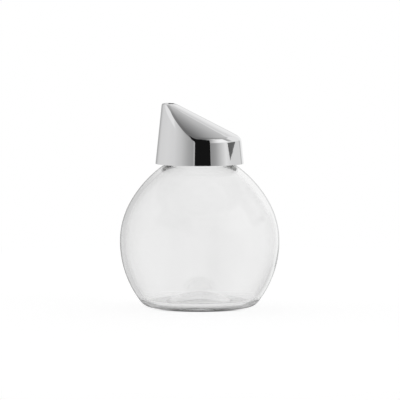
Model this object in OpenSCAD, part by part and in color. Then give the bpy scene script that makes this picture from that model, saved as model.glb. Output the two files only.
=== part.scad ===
// Sugar dispenser: a clear glass globe on a narrow standing ring, closed by a tall metal-bright
// screw lid. The lid is an upright cone whose top is cut away by a leaning hood, which leaves a
// spout at one side with a slot at its tip. Inside the lid a threaded cap grips the glass neck,
// a seal lies on the rim, and a flat tube carries the sugar from the cap up to the slot.
// Origin: centre of the standing ring, on the table. +Z is up and the spout points to -X.

/* [Globe] */
// Greatest outside diameter of the globe
globe_d = 90; // [86:1:96]
// Height of the widest point above the table
belly_z = 37; // [34:1:40]
// Radius of the side's curve below the widest point
lower_r = 55.5; // [52:0.5:58]
// Radius of the side's curve above the widest point
upper_r = 45; // [42:1:48]
// Angle through which that upper curve runs before the shoulder starts
upper_sweep = 29; // [25:1:33]
// Radius of the flatter shoulder that runs in under the lid
shoulder_r = 63.5; // [60:0.5:68]
// Radius of the rounded corner at the standing ring
base_corner_r = 8; // [6:0.5:9]
// Thickness of the glass in the side
glass_t = 3; // [2:0.25:4]
// Thickness of the glass in the bottom
base_t = 3.5; // [3:0.25:4.5]
// Diameter of the hollow pushed up under the bottom
punt_d = 37; // [32:1:42]
// Depth of that hollow
punt_h = 5; // [3:0.5:6]
// Radius of the corner between the floor and the side, inside
floor_corner_r = 7; // [5:0.5:9]

/* [Neck] */
// Outside diameter of the neck, at the root of its thread
neck_d = 37.4; // [36.6:0.1:38.2]
// Diameter of the mouth
mouth_d = 31.4; // [29.4:0.2:32]
// Height of the neck above the shoulder
neck_h = 10.3; // [10:0.1:11]
// Radius of the rounded edges of the rim
lip_r = 1; // [0.5:0.1:1.2]
// Pitch of the screw thread
thread_pitch = 4.23; // [4:0.01:4.5]
// Turns of thread on the neck and in the cap
thread_turns = 1.25; // [1:0.05:1.3]
// Depth of the thread
thread_depth = 1.2; // [0.8:0.1:1.3]
// Width of the thread's ridge at its root
ridge_root_w = 2; // [1.6:0.1:2.2]
// Width of the thread's ridge at its crest
ridge_crest_w = 1; // [0.6:0.1:1.2]
// Height of the thread's start above the shoulder
thread_rise = 2.4; // [2.2:0.1:2.6]

/* [Lid] */
// Outside diameter of the lid at its bottom edge
lid_d = 49.8; // [49:0.2:54]
// Angle by which the lid's wall leans inwards
lid_draft = 6; // [3:0.5:7]
// Distance from the glass rim down to the lid's bottom edge
lid_reach = 10.6; // [10:0.1:11]
// Height of the lid's wall on its low side
rim_h = 14.9; // [14:0.1:18]
// Height of the lid at the spout
spout_h = 33.9; // [31:0.1:36]
// Angle of the hood's ridge to the table
hood_slope = 27.2; // [25:0.2:29]
// Angle by which the hood narrows as it rises
hood_taper = 22.8; // [21:0.2:26]
// Thickness of the lid's wall
shell_t = 1.5; // [1.2:0.1:2]
// Depth of the solid tip round the slot
tip_t = 4; // [3:0.5:6]

/* [Pouring] */
// Width of the slot and of the tube's bore
slot_w = 4.6; // [3.6:0.1:5]
// Length of the slot and of the tube's bore
slot_l = 12; // [9:0.5:13]
// Distance from the outside of the spout in to the slot
slot_in = 2.2; // [2:0.1:3.5]
// Wall of the tube
tube_t = 1; // [0.8:0.1:1.2]
// Depth of the lip that stops the tube below the tip's face
tube_stop = 1.5; // [1:0.1:2]
// Distance from the lid's axis to the tube, where it leaves the cap
tube_foot = 10.5; // [9:0.5:11]
// How far the tube hangs below the cap's plate
tube_dip = 5; // [3:0.5:7]

/* [Cap and seal] */
// Thickness of the cap's plate over the glass rim
plate_t = 1.5; // [1.2:0.1:2]
// Height of the cap's skirt above the lid's bottom edge
skirt_up = 0.6; // [0.3:0.1:1]
// Thickness of the seal
seal_t = 1.2; // [0.8:0.1:1.4]

/* [Clearances] */
// Gap between the cap's thread and the glass
thread_gap = 0.35; // [0.3:0.05:0.5]
// Gap between pieces that are pushed together and stay
fit_gap = 0.1; // [0.05:0.05:0.2]
// Gap between the seal and the glass rim
seal_gap = 0.05; // [0.02:0.01:0.1]

/* [Hidden] */

$fn = 96;
// Straight pieces in each rounded stretch of the glass outline
arc_steps = 12;
// Angle between two cross-sections of the thread
thread_step = 10;
// Angle over which each end of the thread fades away
thread_fade = 40;
// Angle by which the fade falls short of nothing, so that the ends stay solid
thread_blunt = 1;
// How far a thread's ridge is sunk into its wall
ridge_sink = 0.4;
// How far a cut runs past the face that it opens
cut_past = 1;
// How far the leaning slot is cut on past the tip
slot_past = 4;
// How far the hood's foot stands outside the wall, so that the two cross cleanly
hood_foot = 0.05;

// Globe: centres of the tangent curves, in the plane of radius and height
neck_r = neck_d / 2;
mouth_r = mouth_d / 2;
lower_c = [globe_d / 2 - lower_r, belly_z];
upper_c = [globe_d / 2 - upper_r, belly_z];
shoulder_c = upper_c - (shoulder_r - upper_r) * [cos(upper_sweep), sin(upper_sweep)];
corner_c = corner_centre(lower_r, base_corner_r, 0);
floor_c = corner_centre(lower_r - glass_t, floor_corner_r, base_t);
punt_r = (pow(punt_d / 2, 2) + pow(punt_h, 2)) / (2 * punt_h);
punt_c = [0, punt_h - punt_r];
punt_turn = acos(punt_d / 2 / punt_r);

// Neck: where the shoulder meets it outside and inside
neck_turn = acos((neck_r - shoulder_c.x) / shoulder_r);
bore_turn = acos((mouth_r - shoulder_c.x) / (shoulder_r - glass_t));
neck_z = shoulder_c.y + shoulder_r * sin(neck_turn);
mouth_z = neck_z + neck_h;

// Lid: levels, radii and the lean of the hood
lid_z = mouth_z - lid_reach;
rim_z = lid_z + rim_h;
tip_z = lid_z + spout_h;
lid_r = lid_d / 2;
rim_r = lid_r - rim_h * tan(lid_draft);
tip_r = lid_r - spout_h * tan(lid_draft);
hood_h = spout_h - rim_h;
hood_lean = 1 / tan(hood_slope) - tan(hood_taper);

// Cap, seal and tube
seal_z = mouth_z + seal_gap;
plate_z = seal_z + seal_t;
thread_r = neck_r + thread_depth;
cap_r = thread_r + thread_gap;
slot_x = -(tip_r - slot_in - slot_w / 2);
tube_lean = atan2(-tube_foot - slot_x, tip_z - plate_z);
tube_w = slot_w + 2 * tube_t;
tube_l = slot_l + 2 * tube_t;

// Points along an arc from angle a to angle b
function arc(c, r, a, b) =
    [for (i = [0 : arc_steps]) let (t = a + (b - a) * i / arc_steps) c + r * [cos(t), sin(t)]];

// Centre of a corner that lies inside the lower side's curve of radius r and rests on height z
function corner_centre(r, corner, z) =
    [lower_c.x + sqrt(pow(r - corner, 2) - pow(belly_z - z - corner, 2)), z + corner];

// Angle, seen from the lower side's centre, at which that corner runs into the side
function corner_turn(c) = atan2(c.y - lower_c.y, c.x - lower_c.x);

// Outline of the glass, up the outside from the middle of the bottom and back down the inside
function glass_outline() = concat(
    arc(punt_c, punt_r, 90, punt_turn),
    arc(corner_c, base_corner_r, -90, corner_turn(corner_c)),
    arc(lower_c, lower_r, corner_turn(corner_c), 0),
    arc(upper_c, upper_r, 0, upper_sweep),
    arc(shoulder_c, shoulder_r, upper_sweep, neck_turn),
    arc([neck_r - lip_r, mouth_z - lip_r], lip_r, 0, 90),
    arc([mouth_r + lip_r, mouth_z - lip_r], lip_r, 90, 180),
    arc(shoulder_c, shoulder_r - glass_t, bore_turn, upper_sweep),
    arc(upper_c, upper_r - glass_t, upper_sweep, 0),
    arc(lower_c, lower_r - glass_t, 0, corner_turn(floor_c)),
    arc(floor_c, floor_corner_r, corner_turn(floor_c), -90),
    arc(punt_c + [0, base_t], punt_r, punt_turn, 90));

// Helical ridge on a wall of radius r: side 1 stands outwards and side -1 inwards.
// It starts at the given angle and climbs the one helix that glass and cap share.
module thread_ridge(r, side, start, level) {
    sweep = thread_turns * 360;
    steps = ceil(sweep / thread_step);
    rings = [for (i = [0 : steps]) let (
        a = sweep * i / steps,
        z = level + thread_pitch * (start + a) / 360,
        fade = min(1, (a + thread_blunt) / thread_fade, (sweep - a + thread_blunt) / thread_fade),
        inner = r - side * ridge_sink,
        crest = r + side * thread_depth * fade)
        [for (p = [[inner, -ridge_root_w / 2], [crest, -ridge_crest_w / 2],
                   [crest, ridge_crest_w / 2], [inner, ridge_root_w / 2]])
            [p.x * cos(start + a), p.x * sin(start + a), z + p.y]]];
    sides = [for (i = [0 : steps - 1], j = [0 : 3]) let (k = (j + 1) % 4)
        each [[4 * i + j, 4 * i + k, 4 * i + 4 + k], [4 * i + j, 4 * i + 4 + k, 4 * i + 4 + j]]];
    ends = [[0, 2, 1], [0, 3, 2], [for (p = [0, 1, 2]) 4 * steps + p], [for (p = [0, 2, 3]) 4 * steps + p]];
    faces = concat(sides, ends);
    polyhedron([for (ring = rings) each ring], side > 0 ? faces : [for (f = faces) [f[2], f[1], f[0]]]);
}

// The lid's outer form drawn in by a wall: an upright cone, cut above the rim by a leaning cone
module lid_form(inset, below = 0, top = spout_h) {
    side = inset / cos(lid_draft);
    drop = inset / cos(hood_slope);
    intersection() {
        translate([0, 0, lid_z - below])
            cylinder(h = top + below, r1 = lid_r - side + below * tan(lid_draft),
                     r2 = lid_r - side - top * tan(lid_draft));
        union() {
            translate([0, 0, rim_z - drop])
                multmatrix([[1, 0, -hood_lean, 0], [0, 1, 0, 0], [0, 0, 1, 0]])
                    cylinder(h = hood_h + drop + cut_past, r1 = rim_r + hood_foot,
                             r2 = rim_r + hood_foot - (hood_h + drop + cut_past) * tan(hood_taper));
            translate([0, 0, lid_z - below - cut_past])
                cylinder(h = rim_h - drop + below + cut_past, r = lid_d);
        }
    }
}

// Round-ended bar along the tube's line, from depth a up to depth b below the tip's face
module tube_bar(w, l, a, b) {
    translate([slot_x, 0, tip_z]) rotate([0, -tube_lean, 0]) translate([0, 0, -a])
        linear_extrude(a - b) {
            square([w, l - w], center = true);
            for (y = [-1, 1]) translate([0, y * (l - w) / 2]) circle(d = w);
        }
}

module glass_jar() {
    color("lightcyan", 0.5) union() {
        rotate_extrude() polygon(glass_outline());
        thread_ridge(neck_r, 1, 0, neck_z + thread_rise);
    }
}

// Flat washer on the glass rim
module sealing_ring() {
    color("gainsboro") translate([0, 0, seal_z]) difference() {
        cylinder(h = seal_t, r = neck_r);
        translate([0, 0, -cut_past]) cylinder(h = seal_t + 2 * cut_past, r = mouth_r);
    }
}

// Skirt with the inside thread, and the plate that closes the mouth but for the tube's hole
module inner_cap() {
    skirt_z = lid_z + skirt_up;
    color("white") union() {
        difference() {
            intersection() {
                translate([0, 0, skirt_z]) cylinder(h = plate_z + plate_t - skirt_z, r = lid_r);
                lid_form(shell_t + fit_gap);
            }
            translate([0, 0, skirt_z - cut_past]) cylinder(h = plate_z - skirt_z + cut_past, r = cap_r);
            tube_bar(tube_w + 2 * fit_gap, tube_l + 2 * fit_gap, spout_h, tube_stop);
        }
        thread_ridge(cap_r, -1, 180, neck_z + thread_rise - thread_pitch / 2);
    }
}

// Flat leaning tube of dark plastic, cut level at its foot
module pour_tube() {
    foot_z = plate_z - tube_dip;
    color("dimgray") difference() {
        tube_bar(tube_w, tube_l, spout_h, tube_stop);
        tube_bar(slot_w, slot_l, spout_h + cut_past, tube_stop - cut_past);
        translate([0, 0, foot_z - spout_h]) cylinder(h = spout_h, r = lid_r);
    }
}

// Bright outer lid with its slot, and the socket that takes the tube's end
module lid_shell() {
    color("silver") difference() {
        lid_form(0);
        lid_form(shell_t, cut_past, spout_h - tip_t);
        tube_bar(slot_w, slot_l, spout_h, -slot_past);
        tube_bar(tube_w + 2 * fit_gap, tube_l + 2 * fit_gap, spout_h, tube_stop - fit_gap);
    }
}

glass_jar();
sealing_ring();
inner_cap();
pour_tube();
lid_shell();
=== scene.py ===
import bpy
import numpy as np
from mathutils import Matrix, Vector


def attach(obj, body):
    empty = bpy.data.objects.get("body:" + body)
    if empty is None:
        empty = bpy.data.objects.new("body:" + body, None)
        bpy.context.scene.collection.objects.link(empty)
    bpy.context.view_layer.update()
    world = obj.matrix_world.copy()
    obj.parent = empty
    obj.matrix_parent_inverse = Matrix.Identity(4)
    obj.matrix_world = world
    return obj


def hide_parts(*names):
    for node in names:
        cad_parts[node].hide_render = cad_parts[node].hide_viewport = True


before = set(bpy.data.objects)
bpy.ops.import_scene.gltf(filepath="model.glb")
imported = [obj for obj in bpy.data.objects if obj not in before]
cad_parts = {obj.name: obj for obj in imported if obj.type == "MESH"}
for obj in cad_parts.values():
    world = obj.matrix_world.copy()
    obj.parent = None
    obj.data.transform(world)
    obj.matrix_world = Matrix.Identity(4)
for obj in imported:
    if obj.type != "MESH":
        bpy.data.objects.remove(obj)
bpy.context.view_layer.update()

# Glass globe: blown clear soda glass, thin in the side and heavy in the bottom, with a hollow pushed
# up under it, so that it stands on a ring, which use has scuffed dull. The neck has a moulded thread
# and a rim rounded in the flame. It stands free, and the lid screws onto it. Sizes in millimetres.
MM = 0.001
TURN = 2 * np.pi
globe_r = 45.0
belly_z = 37.0
lower_r = 55.5
upper_r = 45.0
upper_sweep = np.radians(29.0)
shoulder_r = 63.5
base_corner_r = 8.0
glass_t = 3.0
base_t = 3.5
punt_r = 18.5
punt_h = 5.0
floor_corner_r = 7.0
neck_r = 18.7
mouth_r = 15.7
neck_h = 10.3
lip_r = 1.0
neck_joint_r = 1.0
bore_joint_r = 2.5
thread_pitch = 4.23
thread_turns = 1.25
thread_depth = 1.2
ridge_root_w = 2.0
ridge_crest_w = 1.0
thread_rise = 2.4
thread_fade = np.radians(40.0)
wave_depth = 0.04
wave_fade = 15.0
broad_waves = 3
broad_drift = 11.0
fine_waves = 5
fine_drift = 7.0
fine_start = 1.0
fine_share = 0.7
globe_cols = 240
globe_step = 0.85
thread_step = 0.2
hollow_points = 28
least_arc_points = 9
same_place = 1e-6

lower_c = np.array([globe_r - lower_r, belly_z])
upper_c = np.array([globe_r - upper_r, belly_z])
sweep_way = np.array([np.cos(upper_sweep), np.sin(upper_sweep)])
shoulder_c = upper_c - (shoulder_r - upper_r) * sweep_way
neck_z = shoulder_c[1] + np.sqrt(shoulder_r**2 - (neck_r - shoulder_c[0])**2)
mouth_z = neck_z + neck_h


def smooth(t):
    """Eases a share from 0 to 1 with no kink at either end: three times its square less twice its
    cube."""
    t = np.clip(t, 0, 1)
    return t * t * (3 - 2 * t)


def arc(centre, radius, start, end):
    """Points round a circle from one angle to another, about one step apart: the centre plus the
    radius times each angle's cosine and sine."""
    count = max(least_arc_points, int(abs(end - start) * radius / globe_step))
    turn = np.linspace(start, end, count)
    return np.stack([centre[0] + radius * np.cos(turn), centre[1] + radius * np.sin(turn)], axis=1)


def straight(start, end, step):
    """Points along a line, about one step apart: the start plus even shares of the way to the end."""
    start, end = np.array(start), np.array(end)
    count = max(2, int(np.linalg.norm(end - start) / step) + 1)
    return start + (end - start) * np.linspace(0, 1, count)[:, None]


def corner_centre(side_r, corner_r, level):
    """Centre of a corner that rolls inside the lower side's curve and rests on a level: one corner
    radius above the level, and the two radii's difference away from the side's centre."""
    rise = belly_z - level - corner_r
    return np.array([lower_c[0] + np.sqrt((side_r - corner_r)**2 - rise**2), level + corner_r])


def joint_centre(line_r, curve_r, joint_r):
    """Centre of a joint that rolls between the neck's straight wall and the shoulder's curve: one
    joint radius off the wall, and the two radii's sum away from the shoulder's centre."""
    across = line_r + joint_r - shoulder_c[0]
    return np.array([line_r + joint_r, shoulder_c[1] + np.sqrt((curve_r + joint_r)**2 - across**2)])


def heading(start, end):
    """Angle of the way from one place to another."""
    return np.arctan2(end[1] - start[1], end[0] - start[0])


def thread_stand(turn, height):
    """How far the thread stands out: a ridge with sloping flanks that climbs one pitch a turn and
    fades away at both ends."""
    above = height - neck_z - thread_rise
    lap = np.round(above / thread_pitch - turn / TURN)
    along = turn + lap * TURN
    across = np.abs(above - thread_pitch * along / TURN)
    flank = (ridge_root_w / 2 - across) / ((ridge_root_w - ridge_crest_w) / 2)
    fade = np.minimum(along, thread_turns * TURN - along) / thread_fade
    return thread_depth * smooth(flank) * smooth(fade)


def skin(name, rings, poles=None):
    """One closed mesh over rings of points in millimetres: each ring meets the next in quads. With
    poles the end rings close on a point each, and without them the last ring meets the first."""
    rows, cols = rings.shape[:2]
    here = np.arange(rows * cols).reshape(rows, cols)
    there = np.roll(here, -1, axis=0)
    if poles is not None:
        here, there = here[:-1], there[:-1]
    quads = np.stack([here, np.roll(here, -1, 1), np.roll(there, -1, 1), there], axis=-1).reshape(-1, 4)
    points = rings.reshape(-1, 3)
    caps = np.zeros((0, 3), int)
    if poles is not None:
        first = np.arange(cols)
        last = first + (rows - 1) * cols
        pole = np.full(cols, rows * cols)
        first_cap = np.stack([np.roll(first, -1), first, pole], axis=1)
        last_cap = np.stack([last, np.roll(last, -1), pole + 1], axis=1)
        caps = np.concatenate([first_cap, last_cap])
        points = np.concatenate([points, poles])
    mesh = bpy.data.meshes.new(name)
    mesh.vertices.add(len(points))
    mesh.vertices.foreach_set("co", (points * MM).astype(np.float32).ravel())
    corners = np.concatenate([quads.ravel(), caps.ravel()]).astype(np.int32)
    mesh.loops.add(len(corners))
    mesh.loops.foreach_set("vertex_index", corners)
    sides = np.concatenate([np.full(len(quads), 4), np.full(len(caps), 3)])
    starts = np.concatenate([[0], np.cumsum(sides)[:-1]]).astype(np.int32)
    mesh.polygons.add(len(sides))
    mesh.polygons.foreach_set("loop_start", starts)
    mesh.polygons.foreach_set("use_smooth", np.ones(len(sides), bool))
    mesh.update(calc_edges=True)
    piece = bpy.data.objects.new(name, mesh)
    bpy.context.scene.collection.objects.link(piece)
    return piece


corner_c = corner_centre(lower_r, base_corner_r, 0.0)
floor_c = corner_centre(lower_r - glass_t, floor_corner_r, base_t)
neck_joint_c = joint_centre(neck_r, shoulder_r, neck_joint_r)
bore_joint_c = joint_centre(mouth_r, shoulder_r - glass_t, bore_joint_r)
neck_turn = heading(shoulder_c, neck_joint_c)
bore_turn = heading(shoulder_c, bore_joint_c)

# Outline: hollow, standing ring, side, shoulder, neck, rim, then back down the inside to the floor
hollow_x = np.linspace(globe_step, punt_r, hollow_points)
hollow_r = (punt_r**2 + punt_h**2) / (2 * punt_h)
hollow = np.stack([hollow_x, punt_h - hollow_r + np.sqrt(hollow_r**2 - hollow_x**2)], axis=1)
dome = hollow[::-1] + np.array([0.0, base_t])
outside = [
    hollow,
    straight((punt_r, 0.0), (corner_c[0], 0.0), globe_step),
    arc(corner_c, base_corner_r, -TURN / 4, heading(lower_c, corner_c)),
    arc(lower_c, lower_r, heading(lower_c, corner_c), 0.0),
    arc(upper_c, upper_r, 0.0, upper_sweep),
    arc(shoulder_c, shoulder_r, upper_sweep, neck_turn),
    arc(neck_joint_c, neck_joint_r, neck_turn + TURN / 2, TURN / 2)]
neck_wall = straight((neck_r, neck_joint_c[1]), (neck_r, mouth_z - lip_r), thread_step)
rim = [
    arc((neck_r - lip_r, mouth_z - lip_r), lip_r, 0.0, TURN / 4),
    arc((mouth_r + lip_r, mouth_z - lip_r), lip_r, TURN / 4, TURN / 2)]
inside = [
    straight((mouth_r, mouth_z - lip_r), (mouth_r, bore_joint_c[1]), globe_step),
    arc(bore_joint_c, bore_joint_r, TURN / 2, bore_turn + TURN / 2),
    arc(shoulder_c, shoulder_r - glass_t, bore_turn, upper_sweep),
    arc(upper_c, upper_r - glass_t, upper_sweep, 0.0),
    arc(lower_c, lower_r - glass_t, 0.0, heading(lower_c, floor_c)),
    arc(floor_c, floor_corner_r, heading(lower_c, floor_c), -TURN / 4),
    straight((floor_c[0], base_t), (punt_r, base_t), globe_step),
    dome]
outline = np.concatenate(outside + [neck_wall] + rim + inside)
fresh = np.concatenate([[True], np.linalg.norm(np.diff(outline, axis=0), axis=1) > same_place])
first_neck = sum(len(part) for part in outside)
first_inside = first_neck + len(neck_wall) + sum(len(part) for part in rim)
place = np.arange(len(outline))
on_neck = ((place >= first_neck) & (place < first_neck + len(neck_wall)))[fresh]
on_inside = (place >= first_inside)[fresh]
outline = outline[fresh]

# Blown glass waves slightly on its inner face, between the floor and the neck
globe_turn = np.linspace(0, TURN, globe_cols, endpoint=False)[None, :]
height = outline[:, 1][:, None]
blown = smooth((height - base_t - floor_corner_r) / wave_fade) * smooth((neck_z - height) / wave_fade)
broad_wave = np.sin(broad_waves * globe_turn + height / broad_drift)
fine_wave = np.sin(fine_waves * globe_turn - height / fine_drift + fine_start)
spread = (outline[:, 0][:, None]
          + on_neck[:, None] * thread_stand(globe_turn, height)
          + on_inside[:, None] * wave_depth * blown * (broad_wave + fine_share * fine_wave))
globe_rings = np.stack([spread * np.cos(globe_turn), spread * np.sin(globe_turn),
                        height + 0 * globe_turn], axis=-1)
globe_poles = np.array([[0, 0, punt_h], [0, 0, punt_h + base_t]])
glass_globe = skin("glass_globe", globe_rings, globe_poles)
outer_share = np.concatenate([np.repeat(~on_inside, globe_cols), [True, False]])
outer_face = glass_globe.data.attributes.new("outer_face", "FLOAT", "POINT")
outer_face.data.foreach_set("value", outer_share.astype(np.float32))


def set_inputs(tree, node, inputs):
    """Fills a node's inputs: a socket is linked, and anything else is set as it stands."""
    for name, value in inputs.items():
        if isinstance(value, bpy.types.NodeSocket):
            tree.links.new(value, node.inputs[name])
        else:
            node.inputs[name].default_value = value


def add_node(tree, kind, inputs=None, **options):
    """Adds one node, sets its options and fills its inputs."""
    node = tree.nodes.new("ShaderNode" + kind)
    for name, value in options.items():
        setattr(node, name, value)
    set_inputs(tree, node, inputs or {})
    return node


def new_finish(name):
    """A material with a node tree: gives the material, its tree, its shader and object coordinates."""
    finish = bpy.data.materials.new(name)
    finish.use_nodes = True
    tree = finish.node_tree
    spot = add_node(tree, "TexCoord").outputs["Object"]
    return finish, tree, tree.nodes["Principled BSDF"], spot


def noise(tree, spot, scale, detail):
    """Soft cloudy noise from 0 to 1, with so many clouds to the metre and so many finer layers."""
    return add_node(tree, "TexNoise", {"Vector": spot, "Scale": scale, "Detail": detail}).outputs["Fac"]


def ramp(tree, source, start, end, low=0.0, high=1.0, ease="LINEAR"):
    """A level that goes from one value to another as the source runs between two marks."""
    inputs = {"Value": source, "From Min": start, "From Max": end, "To Min": low, "To Max": high}
    return add_node(tree, "MapRange", inputs, interpolation_type=ease).outputs["Result"]


def between(tree, share, first, second):
    """Goes from the first colour to the second as the share goes from 0 to 1."""
    return add_node(tree, "Mix", {"Factor": share, 6: first, 7: second}, data_type="RGBA").outputs[2]


def grey(level):
    """A neutral colour of one level."""
    return (level, level, level, 1)


glass_ior = 1.52
scuff_rough = 0.4
scuff_top = 0.02
scuff_end = 0.1
film_dull = grey(0.925)
film_clear = grey(0.955)
# The dark edge below is painted shade: a near-black colour that the outer face takes where it is seen
# edge-on, as a dark outline.
painted_edge_shade = grey(0.06)
edge_starts = 0.8
edge_full = 0.9
soak_colour = grey(0.87)
soak_density = 10.0

clear_glass, tree, shader, spot = new_finish("clear_glass")
up = add_node(tree, "SeparateXYZ", {0: spot}).outputs["Z"]
glance = add_node(tree, "LayerWeight", {"Blend": 0.5}).outputs["Facing"]
on_outside = add_node(tree, "Attribute", attribute_name="outer_face").outputs["Fac"]
film = between(tree, noise(tree, spot, scale=45.0, detail=3.0), film_dull, film_clear)
# Painted shade: the outer face darkens to near black where it is seen edge-on, drawing a dark outline
# round the glass.
painted_edge_share = ramp(tree, glance, edge_starts, edge_full, 0.0, on_outside)
set_inputs(tree, shader, {
    "Transmission Weight": 1.0,
    "IOR": glass_ior,
    "Roughness": ramp(tree, up, scuff_top * MM, scuff_end * MM, scuff_rough, 0.0),
    "Base Color": between(tree, painted_edge_share, film, painted_edge_shade)})
soak = add_node(tree, "VolumeAbsorption", {"Color": soak_colour, "Density": soak_density})
set_inputs(tree, tree.nodes["Material Output"], {"Volume": soak.outputs["Volume"]})
glass_globe.data.materials.append(clear_glass)
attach(glass_globe, "jar")
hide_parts("glass_jar")

# Sealing ring: a flat washer punched from pale soft rubber. It lies on the glass rim, under the cap's
# plate, and rises with the lid. Its cut faces are matt and slightly mottled.
rubber_dark = (0.5, 0.5, 0.48, 1)
rubber_pale = (0.62, 0.62, 0.6, 1)
rubber_smoothest = 0.6
rubber_roughest = 0.85
rubber_grain = 0.2


def raised_by(tree, height, strength, distance):
    """The normal of a surface that a height pattern raises by up to a distance in millimetres."""
    inputs = {"Height": height, "Strength": strength, "Distance": distance * MM}
    return add_node(tree, "Bump", inputs).outputs["Normal"]


def dress(node, finish):
    """Gives a solid of the frame one finish in place of its own."""
    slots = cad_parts[node].data.materials
    slots.clear()
    slots.append(finish)


seal_rubber, tree, shader, spot = new_finish("seal_rubber")
mottle = noise(tree, spot, scale=900.0, detail=6.0)
set_inputs(tree, shader, {
    "Base Color": between(tree, mottle, rubber_dark, rubber_pale),
    "Roughness": ramp(tree, mottle, 0.0, 1.0, rubber_smoothest, rubber_roughest),
    "Normal": raised_by(tree, mottle, strength=0.25, distance=rubber_grain)})
dress("sealing_ring", seal_rubber)

# Inner cap: injection moulded in white polypropylene. It grips the neck with its inside thread and
# is pressed into the bright lid, which hides it.
cap_dull = (0.88, 0.88, 0.865, 1)
cap_pale = (0.92, 0.92, 0.905, 1)
satin_smoothest = 0.35
satin_roughest = 0.55
satin_grain = 0.1


def moulded_plastic(name, dark, pale):
    """A moulded plastic with a satin skin: slow clouds between two greys, and a fine grain."""
    plastic, tree, shader, spot = new_finish(name)
    cloud = noise(tree, spot, scale=120.0, detail=3.0)
    spark = noise(tree, spot, scale=2500.0, detail=2.0)
    set_inputs(tree, shader, {
        "Base Color": between(tree, cloud, dark, pale),
        "Roughness": ramp(tree, spark, 0.0, 1.0, satin_smoothest, satin_roughest),
        "Normal": raised_by(tree, spark, strength=0.12, distance=satin_grain)})
    return plastic


dress("inner_cap", moulded_plastic("white_plastic", cap_dull, cap_pale))

# Pouring tube: flat, moulded in polypropylene. It is pressed into the cap's plate and into
# the socket under the spout's tip. Its near-black colour is painted shade, so that it shows only as the
# dark inside of the slot.
tube_shade_dark = grey(0.03)
tube_shade_light = grey(0.04)
dress("pour_tube", moulded_plastic("dark_plastic", tube_shade_dark, tube_shade_light))

# Bright lid: one hollow shell, plated with chrome to a mirror finish. It is an upright cone whose top is
# cut away by a leaning hood up to the spout, with a softly rounded edge where hood and wall meet and a
# round-ended slot in the spout's flat tip. The cap pressed into it holds it to the neck.
lid_r = 24.9
lid_draft = np.radians(6.0)
lid_reach = 10.6
rim_h = 14.9
spout_h = 33.9
hood_slope = np.radians(27.2)
hood_taper = np.radians(22.8)
shell_t = 1.5
tip_t = 4.0
edge_setback = 0.9
side_setback = 2.0
side_starts = 1.0
side_grows = 0.9
crown_low = 2.4
crown_high = 5.5
crown_climb = 9.5
bend_low = 0.46
bend_high = 0.15
hood_press = 1.0
press_w = 5.5
tip_edge_r = 0.7
foot_edge_r = 0.12
slot_edge_r = 0.15
stop_edge = 0.05
ceiling_edge_r = 0.6
slot_w = 4.6
slot_l = 12.0
slot_in = 2.2
tube_stop = 1.5
tube_t = 1.0
tube_foot = 10.5
fit_gap = 0.1
seal_t = 1.2
seal_gap = 0.05
core_x = -6.0
core_lift = 1.0
least_fall = 0.4
clear_of_wall = 8.0
least_sharp = 0.1
least_reach = 1e-9
normal_probe = 0.005
halvings = 44
edge_rows = 5
lid_cols = 384
lid_rows = 190
lining_rows = 22

lid_z = mouth_z - lid_reach
rim_z = lid_z + rim_h
tip_z = lid_z + spout_h
ceiling_z = tip_z - tip_t
rim_r = lid_r - rim_h * np.tan(lid_draft)
tip_r = lid_r - spout_h * np.tan(lid_draft)
hood_lean = 1 / np.tan(hood_slope) - np.tan(hood_taper)
slot_x = -(tip_r - slot_in - slot_w / 2)
plate_z = mouth_z + seal_gap + seal_t
tube_lean = np.arctan2(-tube_foot - slot_x, tip_z - plate_z)
lid_core = np.array([core_x, 0.0, mouth_z + core_lift])


def soft_cut(a, b, radius):
    """Keeps what lies inside two forms, with the edge between them rounded: outside both roundings it
    is the larger of the two distances, and within them the distance from the rounding's centre."""
    corner = np.hypot(np.maximum(a + radius, 0), np.maximum(b + radius, 0))
    return np.minimum(np.maximum(a, b), -radius) + corner


def lid_gap(points):
    """Distance of points outside the lid's form: an upright cone for the wall and a leaning cone for
    the hood, each the distance from its axis less its radius at that height, under the flat tip.
    Near the edge between them the wall curves in and the hood is pressed in, both by the square of
    the nearness. The edge's rounding grows with the sharpness of the angle and to the low side."""
    x, y, z = points[..., 0], points[..., 1], points[..., 2]
    out = np.maximum(np.hypot(x, y), least_reach)
    wall = (out - lid_r + (z - lid_z) * np.tan(lid_draft)) * np.cos(lid_draft)
    up = z - rim_z
    above = np.maximum(up, 0)
    shifted = x + hood_lean * above
    round_hood = np.maximum(np.hypot(shifted, y), least_reach)
    fall = hood_lean * shifted / round_hood + np.tan(hood_taper)
    steep = np.sqrt(1 + fall**2)
    rise = np.where(up > 0, up * np.tan(hood_taper), up * np.maximum(fall, least_fall))
    hood = (round_hood - rim_r + rise) / steep
    level = (x * shifted + y * y) / (out * round_hood)
    facing = (level * np.cos(lid_draft) + fall * np.sin(lid_draft)) / steep
    sharp = np.sqrt(np.maximum(1 - facing**2, 0))
    hood = hood - clear_of_wall * np.maximum(np.tan(lid_draft) - fall, 0)**2
    below_edge = -hood / (sharp + least_sharp)
    beside_edge = -wall / (sharp + least_sharp)
    climbed = smooth(above / crown_climb)
    crown = crown_low + (crown_high - crown_low) * climbed
    bend = bend_low + (bend_high - bend_low) * climbed
    press = hood_press * np.sin(np.pi * np.clip(above / (spout_h - rim_h), 0, 1)) * sharp
    hood = hood + press * np.maximum(1 - beside_edge / press_w, 0)**2
    wall = wall + bend * sharp * np.maximum(crown - below_edge, 0)**2 / (2 * crown)
    low_side = smooth((fall - side_starts) / side_grows)
    edge_r = sharp * (edge_setback + (side_setback - edge_setback) * low_side)
    return soft_cut(soft_cut(wall, hood, edge_r), z - tip_z, tip_edge_r)


def lining_gap(points):
    """Distance of points outside the lid's hollow: the same form drawn in by the wall, under a level
    ceiling."""
    return soft_cut(lid_gap(points) + shell_t, points[..., 2] - ceiling_z, ceiling_edge_r)


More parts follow.
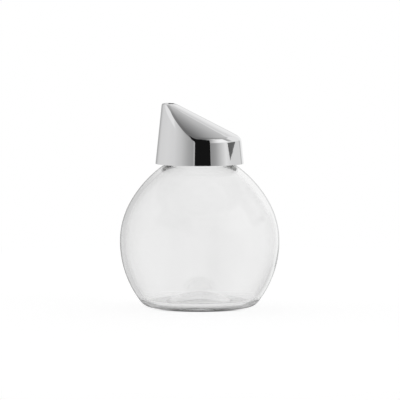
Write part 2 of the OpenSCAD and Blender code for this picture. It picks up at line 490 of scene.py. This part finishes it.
def reach_out(gap, start, end, rows):
    """Rows of points on a form, from one ring to another: rays from the lid's core sweep from ring to
    ring, and each is halved again and again until it ends on the surface."""
    share = np.linspace(0, 1, rows)[:, None, None]
    way = (start - lid_core) * (1 - share) + (end - lid_core) * share
    way = way / np.linalg.norm(way, axis=-1, keepdims=True)
    near = np.zeros(way.shape[:2])
    far = np.full(way.shape[:2], 2 * spout_h)
    for halving in range(halvings):
        middle = (near + far) / 2
        outside_form = gap(lid_core + way * middle[..., None]) > 0
        far = np.where(outside_form, middle, far)
        near = np.where(outside_form, near, middle)
    return lid_core + way * far[..., None]


def foot_ring(radius, z):
    """A level circle round the lid's axis."""
    return np.stack([radius * np.cos(lid_turn), radius * np.sin(lid_turn), z + 0 * lid_turn], axis=-1)


def slot_ring(grow, z):
    """The slot's round-ended outline on a level, grown all round, and shifted along the leaning tube.
    Each quarter runs along the straight half side and then round the end at an even pace."""
    half = (slot_l - slot_w) / 2
    end_r = slot_w / 2 + grow
    run = np.arccos(np.abs(np.cos(lid_turn))) / (TURN / 4) * (half + end_r * TURN / 4)
    bend = np.maximum(run - half, 0) / end_r
    across = np.sign(np.cos(lid_turn)) * end_r * np.cos(bend)
    along = np.sign(np.sin(lid_turn)) * (np.minimum(run, half) + end_r * np.sin(bend))
    x = slot_x + (tip_z - z) * np.tan(tube_lean) + across / np.cos(tube_lean)
    return np.stack([x, along, z + 0 * lid_turn], axis=-1)


# Rows of the shell: up the outside, over the slot's lip, down past the tube's stop, down the lining
# and round the foot
lid_turn = TURN * (np.arange(lid_cols) + 0.5) / lid_cols
foot_z = lid_z + foot_edge_r
foot_r = lid_r - foot_edge_r * np.tan(lid_draft)
lining_r = foot_r - shell_t / np.cos(lid_draft)
stop_z = tip_z - (tube_stop - fit_gap) * np.cos(tube_lean)
socket = tube_t + fit_gap
ease = np.linspace(0, TURN / 4, edge_rows)[1:]
outer_rows = reach_out(lid_gap, foot_ring(foot_r, foot_z), slot_ring(slot_edge_r, tip_z), lid_rows)
slot_lip = [
    slot_ring(slot_edge_r * (1 - np.sin(bend)), tip_z - slot_edge_r * (1 - np.cos(bend)))
    for bend in ease]
passage = [
    slot_ring(0.0, stop_z + stop_edge),
    slot_ring(stop_edge, stop_z),
    slot_ring(socket - stop_edge, stop_z),
    slot_ring(socket, stop_z - stop_edge)]
lining = reach_out(lining_gap, slot_ring(socket, ceiling_z), foot_ring(lining_r, foot_z), lining_rows)
inner_foot = [
    foot_ring(lining_r + foot_edge_r * (1 - np.cos(bend)), foot_z - foot_edge_r * np.sin(bend))
    for bend in ease]
outer_foot = [
    foot_ring(foot_r - foot_edge_r * (1 - np.cos(bend)), foot_z - foot_edge_r * np.sin(bend))
    for bend in ease[::-1]]
other_rows = np.stack(slot_lip + passage + list(lining) + inner_foot + outer_foot)
bright_lid = skin("bright_lid", np.concatenate([outer_rows, other_rows]))

# Shading of the outer face follows the form itself, so that the mirror shows no facets
steps = np.eye(3) * normal_probe
slopes = [lid_gap(outer_rows + step) - lid_gap(outer_rows - step) for step in steps]
facing_out = np.stack(slopes, axis=-1)
facing_out = facing_out / np.linalg.norm(facing_out, axis=-1, keepdims=True)
normals = np.zeros((lid_cols * (lid_rows + len(other_rows)), 3))
normals[:lid_cols * lid_rows] = facing_out.reshape(-1, 3)
bright_lid.data.normals_split_custom_set_from_vertices(normals)

chrome_dull = (0.86, 0.86, 0.865, 1)
chrome_pale = (0.9, 0.9, 0.905, 1)
chrome_smoothest = 0.02
chrome_roughest = 0.06
chrome_peel = 0.5
bright_chrome, tree, shader, spot = new_finish("bright_chrome")
smear = noise(tree, spot, scale=70.0, detail=4.0)
peel = noise(tree, spot, scale=260.0, detail=1.0)
set_inputs(tree, shader, {
    "Metallic": 1.0,
    "Base Color": between(tree, smear, chrome_dull, chrome_pale),
    "Roughness": ramp(tree, smear, 0.0, 1.0, chrome_smoothest, chrome_roughest),
    "Normal": raised_by(tree, peel, strength=0.02, distance=chrome_peel)})
bright_lid.data.materials.append(bright_chrome)
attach(bright_lid, "lid")
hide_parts("lid_shell")

# Table: a round matt white board that the dispenser stands on. In the picture it is white all over;
# in the lid and through the glass it shows only under the globe, and the room shows farther out. A
# thin dark painted shadow follows the front of the ring it stands on. Sizes in millimetres.
table_r = 400.0
table_drop = 0.1
table_cols = 96
table_rough = 0.9
table_grey = grey(0.3)
painted_shadow_grey = grey(0.02)
table_glow = 0.1
glow_in_glass = 0.8
glow_in_view = 0.86
painted_shadow_glow = 0.03
painted_shadow_r = 30.2
painted_shadow_end_r = 31.2
painted_shadow_starts_y = -16.0
painted_shadow_full_y = -26.0
under_globe_r = 30.0
under_globe_end_r = 45.0

table_turn = np.linspace(0, TURN, table_cols, endpoint=False)
table_rim = np.stack([table_r * np.cos(table_turn), table_r * np.sin(table_turn),
                      0 * table_turn - table_drop], axis=1)
table_mesh = bpy.data.meshes.new("table")
table_mesh.from_pydata((table_rim * MM).tolist(), [], [list(range(table_cols))])
table = bpy.data.objects.new("table", table_mesh)
bpy.context.scene.collection.objects.link(table)


def both(tree, first, second):
    """The part of one mask that lies within another: their product."""
    return add_node(tree, "Math", {0: first, 1: second}, operation="MULTIPLY").outputs[0]


def blend(tree, share, first, second):
    """Goes from the first level to the second as the share goes from 0 to 1."""
    return add_node(tree, "Mix", {"Factor": share, "A": first, "B": second}).outputs["Result"]


white_table, tree, shader, spot = new_finish("white_table")
path = add_node(tree, "LightPath")
in_view = path.outputs["Is Camera Ray"]
in_glass = path.outputs["Is Transmission Ray"]
away = add_node(tree, "VectorMath", {0: spot}, operation="LENGTH").outputs["Value"]
depth = add_node(tree, "SeparateXYZ", {0: spot}).outputs["Y"]
# Painted shadow: darker colour and less glow on a thin band just outside the ring, at the front only,
# and not seen through the glass.
painted_shadow = both(tree, ramp(tree, away, painted_shadow_r * MM, painted_shadow_end_r * MM, 1.0, 0.0),
               ramp(tree, depth, painted_shadow_starts_y * MM, painted_shadow_full_y * MM))
painted_shadow = both(tree, painted_shadow, ramp(tree, in_glass, 0.0, 1.0, 1.0, 0.0))
glow = blend(tree, in_glass, table_glow, glow_in_glass)
glow = blend(tree, in_view, glow, glow_in_view)
set_inputs(tree, shader, {
    "Roughness": table_rough,
    "Specular IOR Level": 0.0,
    "Base Color": between(tree, painted_shadow, table_grey, painted_shadow_grey),
    "Emission Color": grey(1.0),
    "Emission Strength": blend(tree, painted_shadow, glow, painted_shadow_glow)})
under_globe = ramp(tree, away, under_globe_r * MM, under_globe_end_r * MM, 1.0, 0.0)
shown = add_node(tree, "Math", {0: in_view, 1: under_globe}, operation="MAXIMUM").outputs[0]
clear = add_node(tree, "BsdfTransparent").outputs["BSDF"]
cover = add_node(tree, "MixShader", {0: shown, 1: clear, 2: shader.outputs["BSDF"]})
set_inputs(tree, tree.nodes["Material Output"], {"Surface": cover.outputs["Shader"]})
table.data.materials.append(white_table)

# Dark wedge: a sheet of dark paper that stands to the right of the table, out of the picture. Only
# the lid mirrors it, as the narrow dark triangle near its right edge. Sizes in millimetres.
wedge_x = 250.0
wedge_outline = ((-47, 118), (-22, 104.5), (98, 109), (98, 135), (-47, 135))
wedge_glow = 0.13
wedge_mesh = bpy.data.meshes.new("dark_wedge")
wedge_corners = [(wedge_x * MM, y * MM, z * MM) for y, z in wedge_outline]
wedge_mesh.from_pydata(wedge_corners, [], [list(range(len(wedge_corners)))])
wedge = bpy.data.objects.new("dark_wedge", wedge_mesh)
bpy.context.scene.collection.objects.link(wedge)
wedge.visible_camera = False
wedge.visible_diffuse = False
wedge.visible_transmission = False
wedge.visible_shadow = False

wedge_paper, tree, shader = new_finish("wedge_paper")[:3]
set_inputs(tree, shader, {
    "Base Color": grey(0.0),
    "Specular IOR Level": 0.0,
    "Emission Color": grey(1.0),
    "Emission Strength": wedge_glow})
wedge.data.materials.append(wedge_paper)

# Room: light by direction, with pale walls, a ceiling that is darker towards the camera, three broad
# soft lamps, and a black card by the camera that the lid mirrors. In the picture it is white, and
# nearly so through the glass. Azimuth is in degrees, from the camera's side round to the right.
wall_levels = (
    (-175, 0.52), (-165, 0.42), (-155, 0.46), (-145, 0.62), (-135, 0.7), (-100, 0.74), (-72, 0.7),
    (-50, 0.58), (-30, 0.4), (-16, 0.34), (-15.5, 0.5), (-13, 0.5), (29, 0.5), (30, 0.5),
    (30.5, 0.28), (44, 0.37), (60, 0.6), (76, 0.82), (84, 0.76), (95, 0.7), (138, 0.7), (142, 0.5),
    (145, 0.5), (149, 0.8), (156, 0.9), (172, 0.9))
wall_level_behind = 0.5
wall_top = 16
ceiling_foot = 26
ceiling_near = 0.16
ceiling_near_y = -0.75
ceiling_far = 0.6
ceiling_far_y = 0.68
ceiling_back = 0.88
ceiling_back_y = (0.67, 0.92)
soft_lamp_level = 0.85
right_lamp_level = 1.0
card_level = 0.008
glass_levels = (
    (-0.75, 0.92), (-0.6, 0.75), (-0.45, 0.68), (-0.34, 0.72), (-0.2, 0.88), (-0.1, 0.96), (0.1, 1.0),
    (0.5, 1.0), (0.62, 0.85), (0.75, 0.92))
glass_level_beside = 0.95
low_right_level = 0.76
low_right_x = (0.12, 0.3)
low_right_z = (-0.1, -0.3)

world = bpy.data.worlds.new("pale_room")
bpy.context.scene.world = world
world.use_nodes = True
tree = world.node_tree
way = add_node(tree, "SeparateXYZ", {0: add_node(tree, "TexCoord").outputs["Generated"]})
right = way.outputs["X"]
behind = way.outputs["Y"]
climb = way.outputs["Z"]
before = add_node(tree, "Math", {0: behind, 1: -1.0}, operation="MULTIPLY").outputs[0]
azimuth = add_node(tree, "Math", {0: right, 1: before}, operation="ARCTAN2").outputs[0]
azimuth = add_node(tree, "Math", {0: azimuth}, operation="DEGREES").outputs[0]


def raised(angle):
    """The upward part of a direction at an elevation in degrees: its sine."""
    return float(np.sin(np.radians(angle)))


def eased(source, start, end, low=0.0, high=1.0):
    """A level that eases from one value to another as the source runs between two marks."""
    return ramp(tree, source, start, end, low, high, "SMOOTHSTEP")


def patch(turns, turn_soft, heights, height_soft):
    """A soft-edged patch of the room, between two azimuths and two elevations in degrees: it eases up
    to 1 before the first mark of each pair and down to 0 after the second."""
    left_edge = eased(azimuth, turns[0] - turn_soft[0], turns[0])
    right_edge = eased(azimuth, turns[1], turns[1] + turn_soft[1], 1.0, 0.0)
    low_edge = eased(climb, raised(heights[0]) - height_soft, raised(heights[0]))
    high_edge = eased(climb, raised(heights[1]), raised(heights[1]) + height_soft, 1.0, 0.0)
    return both(tree, both(tree, left_edge, right_edge), both(tree, low_edge, high_edge))


def levels_along(source, start, end, levels, outermost):
    """A level that runs through given values at given marks of the source, with one value at both
    ends."""
    run = add_node(tree, "ValToRGB", {"Fac": ramp(tree, source, start, end)})
    stops = run.color_ramp.elements
    for stop in stops:
        stop.color = grey(outermost)
    for mark, level in levels:
        stops.new((mark - start) / (end - start)).color = grey(level)
    return run.outputs["Color"]


walls = levels_along(azimuth, -180, 180, wall_levels, wall_level_behind)
ceiling = ramp(tree, behind, ceiling_near_y, ceiling_far_y, ceiling_near, ceiling_far)
ceiling = blend(tree, eased(behind, *ceiling_back_y), ceiling, ceiling_back)
room = blend(tree, eased(climb, raised(wall_top), raised(ceiling_foot)), walls, ceiling)
left_lamp = patch(turns=(-130, -78), turn_soft=(8, 8), heights=(8, 40), height_soft=0.03)
right_lamp = patch(turns=(66, 82), turn_soft=(50, 8), heights=(16, 40), height_soft=0.08)
back_lamp = patch(turns=(112, 150), turn_soft=(10, 10), heights=(12, 40), height_soft=0.06)
card = patch(turns=(-12.5, 29), turn_soft=(1, 1), heights=(-90, 24), height_soft=0.032)
card_head = patch(turns=(-19, 20), turn_soft=(2, 2), heights=(12, 26), height_soft=0.02)
room = blend(tree, left_lamp, room, soft_lamp_level)
room = blend(tree, right_lamp, room, right_lamp_level)
room = blend(tree, back_lamp, room, soft_lamp_level)
room = blend(tree, card, room, card_level)
room = blend(tree, card_head, room, card_level)
through = levels_along(right, -1.0, 1.0, glass_levels, glass_level_beside)
low_right = both(tree, eased(right, *low_right_x), eased(climb, *low_right_z))
through = blend(tree, low_right, through, low_right_level)
path = add_node(tree, "LightPath")
shown = blend(tree, path.outputs["Is Transmission Ray"], room, through)
shown = blend(tree, path.outputs["Is Camera Ray"], shown, 1.0)
set_inputs(tree, tree.nodes["Background"], {"Color": grey(1.0), "Strength": shown})

# Camera: a long lens two metres in front, a little above the lid and looking slightly down, as in the
# photograph. Places in metres.
lens_px = 3642.0
image_px = 400.0
sensor_w = 36.0
far_clip = 50.0
camera_place = Vector((0.0002, -2.050, 0.205))
camera_aim = Vector((0.0002, 0.0, 0.0602))
camera_data = bpy.data.cameras.new("photo_camera")
camera_data.sensor_width = sensor_w
camera_data.lens = sensor_w * lens_px / image_px
camera_data.clip_end = far_clip
camera = bpy.data.objects.new("photo_camera", camera_data)
bpy.context.scene.collection.objects.link(camera)
camera.location = camera_place
camera.rotation_euler = (camera_aim - camera_place).to_track_quat("-Z", "Y").to_euler()
bpy.context.scene.camera = camera
bpy.context.scene.view_settings.view_transform = "Standard"

# Light goes round many times inside the thick glass of the bottom, so its paths are not cut short
glass_bounces = 40
bpy.context.scene.cycles.max_bounces = glass_bounces
bpy.context.scene.cycles.glossy_bounces = glass_bounces
bpy.context.scene.cycles.transmission_bounces = glass_bounces
